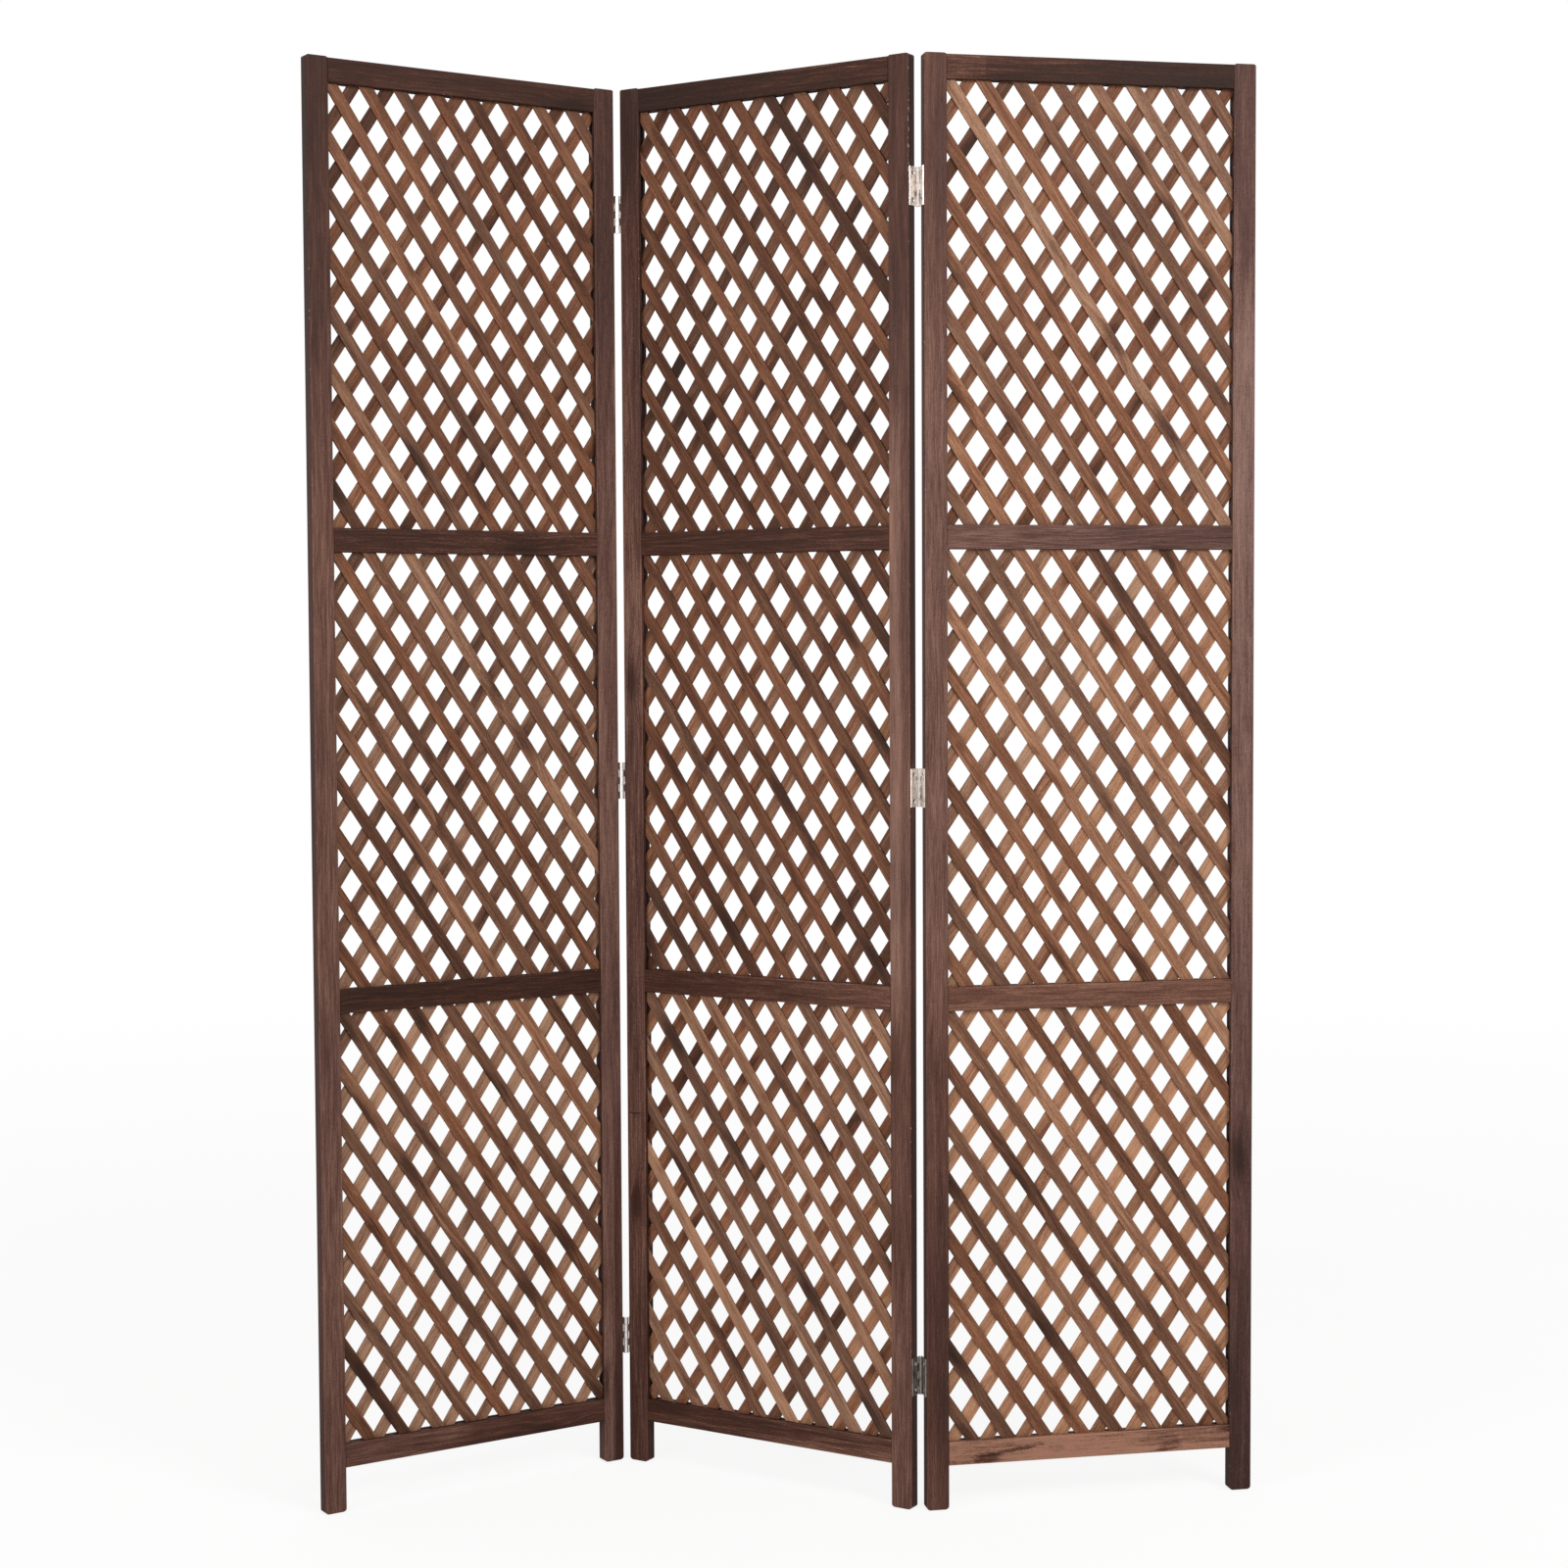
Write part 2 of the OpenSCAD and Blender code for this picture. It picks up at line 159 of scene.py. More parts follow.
def make_softbox(name, at, size, watts):
    data = bpy.data.lights.new(name, "AREA")
    data.shape = "RECTANGLE"
    data.size, data.size_y = size
    data.energy = watts
    lamp = bpy.data.objects.new(name, data)
    lamp.location = at
    lamp.rotation_euler = (Vector(LIT_POINT) - Vector(at)).to_track_quat("-Z", "Y").to_euler()
    bpy.context.scene.collection.objects.link(lamp)


class Graph:
    """Builds a node tree with short calls, most of which return an output socket."""

    def __init__(self, tree):
        self.tree = tree

    def node(self, kind, settings=None, inputs=None):
        made = self.tree.nodes.new(kind)
        for name, value in (settings or {}).items():
            setattr(made, name, value)
        for name, value in (inputs or {}).items():
            self.feed(made.inputs[name], value)
        return made

    def feed(self, socket, value):
        if isinstance(value, bpy.types.NodeSocket):
            self.tree.links.new(value, socket)
        else:
            socket.default_value = value

    def math(self, operation, *values):
        made = self.node("ShaderNodeMath", {"operation": operation})
        for socket, value in zip(made.inputs, values):
            self.feed(socket, value)
        return made.outputs[0]

    def total(self, *terms):
        """Sum of (value, weight) pairs."""
        result = 0.0
        for value, weight in terms:
            result = self.math("MULTIPLY_ADD", value, weight, result)
        return result

    def add(self, vector, other):
        made = self.node("ShaderNodeVectorMath", {"operation": "ADD"})
        self.feed(made.inputs[0], vector)
        self.feed(made.inputs[1], other)
        return made.outputs[0]

    def split(self, vector):
        return self.node("ShaderNodeSeparateXYZ", inputs={"Vector": vector}).outputs

    def join(self, x, y, z):
        return self.node("ShaderNodeCombineXYZ", inputs={"X": x, "Y": y, "Z": z}).outputs[0]

    def scaled(self, axes, factors):
        """A vector from three sockets, each times its own factor."""
        products = [self.math("MULTIPLY", axis, factor) for axis, factor in zip(axes, factors)]
        return self.join(*products)

    def noise(self, vector, detail=2.0, roughness=0.5):
        inputs = {"Vector": vector, "Scale": 1.0, "Detail": detail, "Roughness": roughness}
        return self.node("ShaderNodeTexNoise", inputs=inputs).outputs["Fac"]

    def rise(self, value, low, high):
        """0 at low and 1 at high, with a smooth step between, either way round."""
        settings = {"interpolation_type": "SMOOTHSTEP"}
        inputs = {"Value": value, "From Min": low, "From Max": high}
        return self.node("ShaderNodeMapRange", settings, inputs).outputs["Result"]

    def ramp(self, value, stops):
        made = self.node("ShaderNodeValToRGB", inputs={"Fac": value})
        elements = made.color_ramp.elements
        while len(elements) < len(stops):
            elements.new(0.5)
        for element, (position, colour) in zip(elements, stops):
            element.position = position
            element.color = (*colour, 1)
        return made.outputs["Color"]

    def blend(self, factor, first, second, kind="MIX"):
        made = self.node("ShaderNodeMix", {"data_type": "RGBA", "blend_type": kind})
        self.feed(made.inputs[0], factor)
        self.feed(made.inputs[6], first)
        self.feed(made.inputs[7], second)
        return made.outputs[2]


def seen_directly(graph):
    """1 for camera, glossy and transmission rays, else 0."""
    path = graph.node("ShaderNodeLightPath").outputs
    mirrored = graph.math("MAXIMUM", path["Is Glossy Ray"], path["Is Transmission Ray"])
    return graph.math("MAXIMUM", path["Is Camera Ray"], mirrored)


def make_world():
    """White where it is seen, and a weaker light elsewhere."""
    world = bpy.data.worlds.new("studio")
    world.use_nodes = True
    bpy.context.scene.world = world
    graph = Graph(world.node_tree)
    background = world.node_tree.nodes["Background"]
    inputs = {"Value": seen_directly(graph), "To Min": AMBIENT}
    strength = graph.node("ShaderNodeMapRange", inputs=inputs)
    graph.feed(background.inputs["Color"], (1, 1, 1, 1))
    graph.feed(background.inputs["Strength"], strength.outputs["Result"])


def make_floor():
    """A pale floor that keeps the object's shadow and fades to white away from it."""
    corners = [(-1, -1), (1, -1), (1, 1), (-1, 1)]
    vertices = [(x * FLOOR_HALF, y * FLOOR_HALF, 0) for x, y in corners]
    mesh = bpy.data.meshes.new("floor")
    mesh.from_pydata(vertices, [], [(0, 1, 2, 3)])
    floor = bpy.data.objects.new("floor", mesh)
    floor.location.z = -FLOOR_DROP
    bpy.context.scene.collection.objects.link(floor)
    material = bpy.data.materials.new("pale_floor")
    material.use_nodes = True
    material.node_tree.nodes.clear()
    graph = Graph(material.node_tree)
    place = graph.node("ShaderNodeTexCoord").outputs["Object"]
    away = graph.node("ShaderNodeVectorMath", {"operation": "LENGTH"}, {0: place}).outputs["Value"]
    fade = graph.rise(away, *FLOOR_FADE)
    grain = graph.noise(graph.scaled(graph.split(place), (3, 3, 3)), 3.0)
    colour = graph.ramp(grain, FLOOR_SHADES)
    plain = graph.node("ShaderNodeBsdfDiffuse", inputs={"Color": colour}).outputs[0]
    glow = graph.math("MULTIPLY_ADD", fade, 1 - FLOOR_GLOW, FLOOR_GLOW)
    shine = {"Color": (1, 1, 1, 1), "Strength": glow}
    white = graph.node("ShaderNodeEmission", inputs=shine).outputs[0]
    share = graph.math("MULTIPLY_ADD", fade, 1 - FLOOR_WHITE_SHARE, FLOOR_WHITE_SHARE)
    camera_ray = graph.node("ShaderNodeLightPath").outputs["Is Camera Ray"]
    factor = graph.math("MULTIPLY", camera_ray, share)
    mixed = graph.node("ShaderNodeMixShader", inputs={0: factor, 1: plain, 2: white}).outputs[0]
    graph.node("ShaderNodeOutputMaterial", inputs={"Surface": mixed})
    mesh.materials.append(material)


# ---- Wood ----

FRAME_WARM = (
    (0.0, (0.020, 0.0068, 0.0038)),
    (0.35, (0.055, 0.0175, 0.0085)),
    (0.6, (0.125, 0.052, 0.034)),
    (1.0, (0.368, 0.182, 0.118)),
)
FRAME_COOL = (
    (0.0, (0.015, 0.0080, 0.0068)),
    (0.35, (0.046, 0.019, 0.015)),
    (0.6, (0.113, 0.053, 0.042)),
    (1.0, (0.320, 0.190, 0.155)),
)
SLAT_WARM = (
    (0.0, (0.035, 0.0125, 0.0065)),
    (0.3, (0.086, 0.030, 0.014)),
    (0.6, (0.225, 0.088, 0.043)),
    (1.0, (0.530, 0.275, 0.155)),
)
SLAT_COOL = (
    (0.0, (0.030, 0.0135, 0.0085)),
    (0.3, (0.072, 0.031, 0.018)),
    (0.6, (0.190, 0.091, 0.054)),
    (1.0, (0.475, 0.272, 0.170)),
)
CHIP_COLOUR = (0.42, 0.31, 0.24, 1)
CHIP_SHARE = 0.7
WORN_GAIN = (1.5, 1.5, 1.5, 1)
WORN_SHARE = 0.55

# Cells per metre across and along the grain, each with one knot at most
KNOT_CELLS = (22, 7)
# Distances, in cells, at which a knot's core and the halo round it begin and are full
KNOT_CORE = (0.24, 0.04)
KNOT_HALO = (0.50, 0.08)
# How far, in metres, the grain bends round a knot and drifts by itself
KNOT_BEND = 0.006
DRIFT_BEND = 0.012
DRIFT_SCALES = (30, 30, 5)
# Noise scales across, through and along the grain, per metre
FIGURE_SCALES = {
    "rings": (230, 230, 9),
    "streaks": (760, 760, 26),
    "fibres": (2600, 2600, 90),
    "pores": (2100, 2100, 140),
    "mottle": (1500, 1500, 520),
    "patches": (24, 24, 3.2),
    "blots": (70, 70, 17),
    "dents": (420, 420, 210),
}
# Share of each noise in the lines of the grain, and what takes their mean to 0
LINE_SHARES = {"rings": 0.46, "streaks": 0.62, "fibres": 0.40, "mottle": 0.55}
LINE_MEAN = 1.015
# Noise values at which pores, blots and chips begin and are full
PORE_RISE = (0.58, 0.70)
BLOT_RISE = (0.56, 0.72)
CHIP_RISE = (0.68, 0.72)
BATTERED_GAIN = 0.14
# Change of tone by broad patches, pores, blots, a knot's core and its halo
PATCH_TONE = 0.52
PORE_TONE = -0.10
BLOT_TONE = -0.20
CORE_TONE = -0.22
HALO_TONE = -0.10
# Distances from a long edge, in metres: of a side face, which gets painted shade, of wear and of
# chips
SIDE_SHADE_WITHIN = (0.0005, 0.0002)
WORN_WITHIN = (0.0052, 0.0034)
CHIPPED_WITHIN = (0.0016, 0.0008)
# How far, in metres, streaks and patches move the limit of the wear
STREAKS_MOVE = 0.004
PATCHES_MOVE = 0.003

# How much broad patches change the warmth
PATCH_WARMTH = 0.8
WOOD_SPECULAR = 0.18
WOOD_ROUGHNESS = 0.46
WOOD_RELIEF = {"Strength": 0.35, "Distance": 0.0003}


def wood_group():
    """Figure of stained wood. Place is (across, depth, along the grain) from the piece's middle."""
    tree = bpy.data.node_groups.new("wood_figure", "ShaderNodeTree")
    for name in ("Place", "Seed"):
        tree.interface.new_socket(name, in_out="INPUT", socket_type="NodeSocketVector")
    for name in ("Half Width", "Half Depth", "Knots", "Blots", "Figure", "Side Shade", "Battered"):
        tree.interface.new_socket(name, in_out="INPUT", socket_type="NodeSocketFloat")
    for name in ("Tone", "Patches", "Wear", "Chips", "Height", "Matt"):
        tree.interface.new_socket(name, in_out="OUTPUT", socket_type="NodeSocketFloat")
    graph = Graph(tree)
    given = graph.node("NodeGroupInput").outputs
    x, y, _ = graph.split(given["Place"])
    across, depth, along = graph.split(graph.add(given["Place"], given["Seed"]))

    # Knots, and the grain that runs round them
    cell = graph.scaled((across, along, 0.0), (*KNOT_CELLS, 0.0))
    inputs = {"Vector": cell, "Scale": 1.0}
    voronoi = graph.node("ShaderNodeTexVoronoi", {"voronoi_dimensions": "2D"}, inputs)
    chance = graph.split(voronoi.outputs["Color"])[0]
    has_knot = graph.math("LESS_THAN", chance, given["Knots"])
    core = graph.math("MULTIPLY", graph.rise(voronoi.outputs["Distance"], *KNOT_CORE), has_knot)
    halo = graph.math("MULTIPLY", graph.rise(voronoi.outputs["Distance"], *KNOT_HALO), has_knot)
    drift = graph.noise(graph.scaled((across, depth, along), DRIFT_SCALES), 1.0)
    bent = graph.total((across, 1.0), (halo, KNOT_BEND), (drift, DRIFT_BEND))

    figure = {}
    for name, scales in FIGURE_SCALES.items():
        figure[name] = graph.noise(graph.scaled((bent, depth, along), scales), 2.5, 0.55)
    pores = graph.rise(figure["pores"], *PORE_RISE)
    blots = graph.math("MULTIPLY", graph.rise(figure["blots"], *BLOT_RISE), given["Blots"])
    shares = [(figure[name], share) for name, share in LINE_SHARES.items()]
    lines = graph.total(*shares, (1.0, -LINE_MEAN))
    tone = graph.total(
        (lines, given["Figure"]),
        (figure["patches"], PATCH_TONE),
        (pores, PORE_TONE),
        (blots, BLOT_TONE),
        (core, CORE_TONE),
        (halo, HALO_TONE),
        (1.0, -PATCH_TONE / 2),
    )

    # Painted shade on the side faces, and wear and small chips along the long edges
    from_side = graph.math("SUBTRACT", given["Half Width"], graph.math("ABSOLUTE", x))
    from_face = graph.math("SUBTRACT", given["Half Depth"], graph.math("ABSOLUTE", y))
    from_edge = graph.math("MAXIMUM", from_side, from_face)
    # Painted shade: the side faces are darkened, standing in for the shade that falls on them
    side_shade = graph.rise(from_side, *SIDE_SHADE_WITHIN)
    tone = graph.math("MULTIPLY_ADD", side_shade, given["Side Shade"], tone)
    uneven = graph.total(
        (from_edge, 1.0),
        (figure["streaks"], STREAKS_MOVE),
        (figure["patches"], PATCHES_MOVE),
    )
    wear = graph.rise(uneven, *WORN_WITHIN)
    near_edge = graph.rise(from_edge, *CHIPPED_WITHIN)
    dents = graph.math("MULTIPLY_ADD", given["Battered"], BATTERED_GAIN, figure["dents"])
    chips = graph.math("MULTIPLY", graph.rise(dents, *CHIP_RISE), near_edge)
    height = graph.total(
        (figure["rings"], 0.5),
        (figure["streaks"], 0.5),
        (pores, -0.3),
        (core, 0.2),
        (chips, -0.6),
    )
    matt = graph.total((figure["streaks"], 0.25), (pores, 0.12), (wear, -0.06))

    made = {"Tone": tone, "Patches": figure["patches"], "Wear": wear, "Chips": chips}
    made.update({"Height": height, "Matt": matt})
    graph.node("NodeGroupOutput", inputs=made)
    return tree


WOOD_FIGURE = wood_group()


def finish_wood(graph, figure, tone, warmth, warm_stops, cool_stops):
    """Colour, sheen and relief of a wood material, from its figure."""
    value = graph.math("ADD", tone, figure["Tone"])
    mean = graph.math("SUBTRACT", warmth, PATCH_WARMTH / 2)
    hue = graph.rise(graph.math("MULTIPLY_ADD", figure["Patches"], PATCH_WARMTH, mean), 0.0, 1.0)
    colour = graph.blend(hue, graph.ramp(value, cool_stops), graph.ramp(value, warm_stops))
    worn = graph.blend(1.0, colour, WORN_GAIN, "MULTIPLY")
    colour = graph.blend(graph.math("MULTIPLY", figure["Wear"], WORN_SHARE), colour, worn)
    colour = graph.blend(graph.math("MULTIPLY", figure["Chips"], CHIP_SHARE), colour, CHIP_COLOUR)
    relief = graph.node("ShaderNodeBump", inputs={**WOOD_RELIEF, "Height": figure["Height"]})
    shader = graph.tree.nodes["Principled BSDF"]
    shader.inputs["Specular IOR Level"].default_value = WOOD_SPECULAR
    graph.feed(shader.inputs["Base Color"], colour)
    graph.feed(shader.inputs["Roughness"], graph.math("ADD", figure["Matt"], WOOD_ROUGHNESS))
    graph.feed(shader.inputs["Normal"], relief.outputs[0])


# How far, in metres per unit of seed, the figure is shifted across, through and along the grain
MEMBER_SEED_STEPS = (0.37, 0.11, 1.13)
SLAT_SEED_STEPS = (0.71, 0.19, 1.37)
# Share of cells with a knot, strength of blots, and the painted shade on the side faces
FRAME_KNOTS = 0.04
FRAME_BLOTS = 0.15
FRAME_SIDE_SHADE = -0.28
SLAT_KNOTS = 0.42
SLAT_BLOTS = 0.8
SLAT_FIGURE = 1.0
SLAT_SIDE_SHADE = -0.10
# Change of tone towards a stile's ends, and where it begins and is full
STILE_TOP_TONE = -0.21
STILE_FOOT_TONE = -0.12
STILE_END_FADE = (0.35, 0.85)
# Strength of the figure at tone 0, and how much it falls up to tone 1
FRAME_FIGURE = 1.85
FRAME_FIGURE_FALL = 1.45
# Share of a mark's half size within which it is full
STRETCH_FULL = 0.4
CHIPS_FULL = 0.6
STRIP_WIDTH_FULL = 0.75
STRIP_LENGTH_FULL = 0.6
CRACK_FULL = 0.7
# Tone and limit of a blotch, and scales and strength of its fraying
BLOTCH_TONE = -0.42
BLOTCH_LIMIT = (1.9, 1.1)
FRAY_SCALES = (900, 160, 1)
FRAY_SHARE = 1.2
# Tone of a crack, its bend per metre, and the half widths where it begins and is full
CRACK_TONE = -0.35
CRACK_BEND = 14.0
CRACK_WITHIN = (0.0012, 0.0004)


def member_material(name, place, member):
    """Wood of one stile or rail, with the grain along it."""
    material = bpy.data.materials.new(name + "_wood")
    material.use_nodes = True
    graph = Graph(material.node_tree)
    turn = place.to_euler().z
    inputs = {
        "Vector": graph.node("ShaderNodeTexCoord").outputs["Object"],
        "Location": place @ Vector(member["middle"]),
        "Rotation": (0, 0, turn),
    }
    local = graph.node("ShaderNodeMapping", {"vector_type": "TEXTURE"}, inputs).outputs[0]
    x, y, z = graph.split(local)
    across, along = (z, x) if member["is_rail"] else (x, z)
    group = graph.node("ShaderNodeGroup", {"node_tree": WOOD_FIGURE})
    graph.feed(group.inputs["Place"], graph.join(across, y, along))
    group.inputs["Seed"].default_value = [member["seed"] * step for step in MEMBER_SEED_STEPS]
    group.inputs["Half Width"].default_value = member["half_width"]
    group.inputs["Half Depth"].default_value = FRAME_T / 2
    group.inputs["Knots"].default_value = FRAME_KNOTS
    group.inputs["Blots"].default_value = member.get("blots", FRAME_BLOTS)
    usual_figure = FRAME_FIGURE - FRAME_FIGURE_FALL * member["tone"]
    group.inputs["Figure"].default_value = member.get("figure", usual_figure)
    group.inputs["Side Shade"].default_value = FRAME_SIDE_SHADE
    half_length = OPEN_W / 2 if member["is_rail"] else PANEL_H / 2
    tone = graph.total((along, member["lean"] / half_length), (1.0, member["tone"]))
    if not member["is_rail"]:
        near_top = graph.rise(along, *STILE_END_FADE)
        near_foot = graph.rise(graph.math("MULTIPLY", along, -1.0), *STILE_END_FADE)
        tone = graph.total((near_top, STILE_TOP_TONE), (near_foot, STILE_FOOT_TONE), (tone, 1.0))
    if "stretch" in member:
        at, reach, change = member["stretch"]
        stretch = near(graph, along, at, reach, STRETCH_FULL)
        tone = graph.math("MULTIPLY_ADD", stretch, change, tone)
    if "chips" in member:
        at, reach = member["chips"]
        at_right = graph.rise(across, 0.0, 0.01)
        battered = graph.math("MULTIPLY", near(graph, along, at, reach, CHIPS_FULL), at_right)
        graph.feed(group.inputs["Battered"], battered)
    for blotch in member.get("blotches", ()):
        tone = graph.total((blotch_mark(graph, across, along, *blotch), BLOTCH_TONE), (tone, 1.0))
    for *strip, change in member.get("strips", ()):
        tone = graph.total((strip_mark(graph, across, along, *strip), change), (tone, 1.0))
    if "splice" in member:
        at, change = member["splice"]
        tone = graph.math("MULTIPLY_ADD", graph.math("LESS_THAN", along, at), change, tone)
    if "check" in member:
        crack = check_mark(graph, across, along, *member["check"])
        tone = graph.math("MULTIPLY_ADD", crack, CRACK_TONE, tone)
    finish_wood(graph, group.outputs, tone, member["warmth"], FRAME_WARM, FRAME_COOL)
    return material


def near(graph, value, middle, reach, full):
    """1 where value is within reach times full of middle, and 0 from reach on."""
    off = graph.math("ABSOLUTE", graph.math("SUBTRACT", value, middle))
    return graph.rise(off, reach, reach * full)


def check_mark(graph, across, along, at_across, at_along, half_length):
    """1 along a short curved crack across the grain, 0 elsewhere."""
    sideways = graph.math("SUBTRACT", across, at_across)
    curve = graph.math("MULTIPLY", graph.math("MULTIPLY", sideways, sideways), CRACK_BEND)
    off = graph.math("ABSOLUTE", graph.total((along, 1.0), (curve, -1.0), (1.0, -at_along)))
    line = graph.rise(off, *CRACK_WITHIN)
    return graph.math("MULTIPLY", line, near(graph, across, at_across, half_length, CRACK_FULL))


def strip_mark(graph, across, along, at_across, half_width, at_along, half_length):
    """1 within a strip along the grain, 0 outside it."""
    by_width = near(graph, across, at_across, half_width, STRIP_WIDTH_FULL)
    by_length = near(graph, along, at_along, half_length, STRIP_LENGTH_FULL)
    return graph.math("MULTIPLY", by_width, by_length)


def blotch_mark(graph, across, along, at_across, at_along, half_width, half_length, slant):
    """1 in a dark blotch with frayed ends, 0 elsewhere; slant is its rise across per length."""
    forward = graph.math("SUBTRACT", along, at_along)
    sideways = graph.total((across, 1.0), (forward, -slant), (1.0, -at_across))
    off = graph.scaled((sideways, forward, 0.0), (1 / half_width, 1 / half_length, 0.0))
    reach = graph.node("ShaderNodeVectorMath", {"operation": "LENGTH"}, {0: off}).outputs["Value"]
    frayed = graph.noise(graph.scaled((across, along, 0.0), FRAY_SCALES), 2.0)
    return graph.rise(graph.total((reach, 1.0), (frayed, FRAY_SHARE)), *BLOTCH_LIMIT)


def slat_material():
    """Wood of all slats. Each slat's own place, tone and warmth are stored with its mesh."""
    material = bpy.data.materials.new("slat_wood")
    material.use_nodes = True
    graph = Graph(material.node_tree)
    place = graph.node("ShaderNodeAttribute", {"attribute_name": "place"}).outputs["Vector"]
    stock = graph.node("ShaderNodeAttribute", {"attribute_name": "stock"}).outputs["Vector"]
    tone, warmth, seed = graph.split(stock)
    group = graph.node("ShaderNodeGroup", {"node_tree": WOOD_FIGURE})
    graph.feed(group.inputs["Place"], place)
    graph.feed(group.inputs["Seed"], graph.scaled((seed, seed, seed), SLAT_SEED_STEPS))
    group.inputs["Half Width"].default_value = SLAT_W / 2
    group.inputs["Half Depth"].default_value = SLAT_T / 2
    group.inputs["Knots"].default_value = SLAT_KNOTS
    group.inputs["Blots"].default_value = SLAT_BLOTS
    group.inputs["Figure"].default_value = SLAT_FIGURE
    group.inputs["Side Shade"].default_value = SLAT_SIDE_SHADE
    finish_wood(graph, group.outputs, tone, warmth, SLAT_WARM, SLAT_COOL)
    return material


STOCK_SEED = 11
# Tone of each member, how much it changes from the middle to the upper or right end, and warmth
FRAME_STOCK = {
    "left": {
        "left_stile": (0.63, -0.09, 0.48),
        "right_stile": (0.67, -0.04, 0.37),
        "top_rail": (0.30, 0.01, 1.10),
        "upper_rail": (0.38, 0.09, 0.74),
        "lower_rail": (0.22, 0.03, 1.05),
        "bottom_rail": (0.48, -0.13, 0.64),
    },
    "middle": {
        "left_stile": (0.55, 0.03, 0.48),
        "right_stile": (0.69, -0.07, 0.50),
        "top_rail": (0.16, 0.14, 1.10),
        "upper_rail": (0.35, 0.06, 1.10),
        "lower_rail": (0.47, 0.09, 1.10),
        "bottom_rail": (0.42, 0.18, 0.85),
    },
    "right": {
        "left_stile": (0.72, 0.03, 0.50),
        "right_stile": (0.70, 0.22, 0.20),
        "top_rail": (0.24, -0.19, 1.10),
        "upper_rail": (0.58, -0.04, 0.22),
        "lower_rail": (0.68, -0.03, 1.00),
        "bottom_rail": (0.79, -0.07, 1.20),
    },
}

# Marks that single members show: a crack, a stretch of another tone (its middle, half length
# and change), chips along the right edge (their middle and half length), a change of stock at a
# splice, a stronger figure, heavier blots, dark blotches, and strips of another tone (middle and
# half width across, middle and half length along, change). The dark stretches low on the middle
# panel's right stile and the right panel's left stile, either side of the right joint, are painted
# shade.
FRAME_MARKS = {
    "left_panel_right_stile": {
        "strips": ((-0.0085, 0.0080, -0.80, 0.18, 0.16), (0.0085, 0.0073, -0.72, 0.36, -0.20)),
    },
    "left_panel_bottom_rail": {"stretch": (0.03, 0.07, -0.10)},
    "middle_panel_left_stile": {"check": (-0.002, -0.4114, 0.0095), "stretch": (0.17, 0.13, 0.15)},
    "middle_panel_right_stile": {
        # Painted shade: darker low down beside the right joint
        "stretch": (-0.42, 0.24, -0.20),
        "chips": (0.76, 0.07),
        "strips": ((-0.014, 0.017, 0.08, 0.42, 0.14), (0.014, 0.012, 0.10, 0.42, -0.05)),
    },
    "middle_panel_bottom_rail": {
        "strips": ((-0.014, 0.010, 0.01, 0.24, 0.13), (0.010, 0.012, -0.16, 0.06, -0.10)),
    },
    # Painted shade: darker low down beside the right joint
    "right_panel_left_stile": {"stretch": (-0.53, 0.40, -0.21)},
    "right_panel_right_stile": {"stretch": (0.80, 0.30, -0.23)},
    "right_panel_top_rail": {
        "splice": (-0.1275, 0.12),
        "strips": ((-0.014, 0.012, 0.01, 0.20, -0.13), (0.014, 0.010, -0.12, 0.14, 0.09)),
    },
    "right_panel_bottom_rail": {
        "figure": 1.5,
        "blots": 1.3,
        "stretch": (-0.01, 0.11, 0.16),
        "blotches": ((-0.0075, -0.128, 0.0065, 0.016, 0.0), (0.0, -0.095, 0.0026, 0.032, 0.12)),
        "strips": ((-0.014, 0.010, 0.05, 0.19, 0.17),),
    },
}


def dress_frame():
    """Gives every stile and rail a wood material of its own."""
    rng = random.Random(STOCK_SEED)
    for panel in PANELS:
        for part, (tone, lean, warmth) in FRAME_STOCK[panel].items():
            name = f"{panel}_panel_{part}"
            member = {"tone": tone, "lean": lean, "seed": rng.uniform(1, 9)}
            member["warmth"] = warmth + rng.uniform(-0.03, 0.03)
            member["is_rail"] = part.endswith("rail")
            if member["is_rail"]:
                z = rail_z(RAILS.index(part.removesuffix("_rail"))) + RAIL_H / 2
                member["middle"] = (PANEL_W / 2, FRAME_T / 2, z)
                member["half_width"] = RAIL_H / 2
            else:
                x = STILE_W / 2 if part.startswith("left") else PANEL_W - STILE_W / 2
                member["middle"] = (x, FRAME_T / 2, PANEL_H / 2)
                member["half_width"] = STILE_W / 2
            member.update(FRAME_MARKS.get(name, {}))
            material = member_material(name, PLACES[panel], member)
            for slot in frame["nodes"][name].material_slots:
                slot.material = material


# ---- Lattice ----

SLAT_STATION = 0.02
SLAT_EASE = 0.0007

# How far a slat may be off the regular lattice: least and most
LEAN_OFF = (-0.28, 0.28)
PLACE_OFF = (-0.0011, 0.0011)
HALF_WIDTH_OFF = (-0.0005, 0.0003)
THICKNESS_LOSS = (0.0, 0.0002)
BOW = (-0.0009, 0.0009)
RIPPLE_HEIGHT = 0.00012
RIPPLE_PACE = 70


def slat_ring(half, thick):
    """Section of a slat as (across, depth) points; depth runs from the other layer outwards."""
    return [
        (half, 0.0),
        (half, thick - SLAT_EASE),
        (half - 0.3 * SLAT_EASE, thick - 0.3 * SLAT_EASE),
        (half - SLAT_EASE, thick),
        (half * 0.3, thick),
        (-half * 0.3, thick),
        (-half + SLAT_EASE, thick),
        (-half + 0.3 * SLAT_EASE, thick - 0.3 * SLAT_EASE),
        (-half, thick - SLAT_EASE),
        (-half, 0.0),
    ]


def span_in_field(start, along):
    """How far a line from start runs along each way before it leaves the grooved field."""
    low, high = -math.inf, math.inf
    for at, step, half in zip(start, along, (OPEN_W / 2 + SLAT_SEAT, OPEN_H / 2 + SLAT_SEAT)):
        ends = sorted(((-half - at) / step, (half - at) / step))
        low, high = max(low, ends[0]), min(high, ends[1])
    return low, high


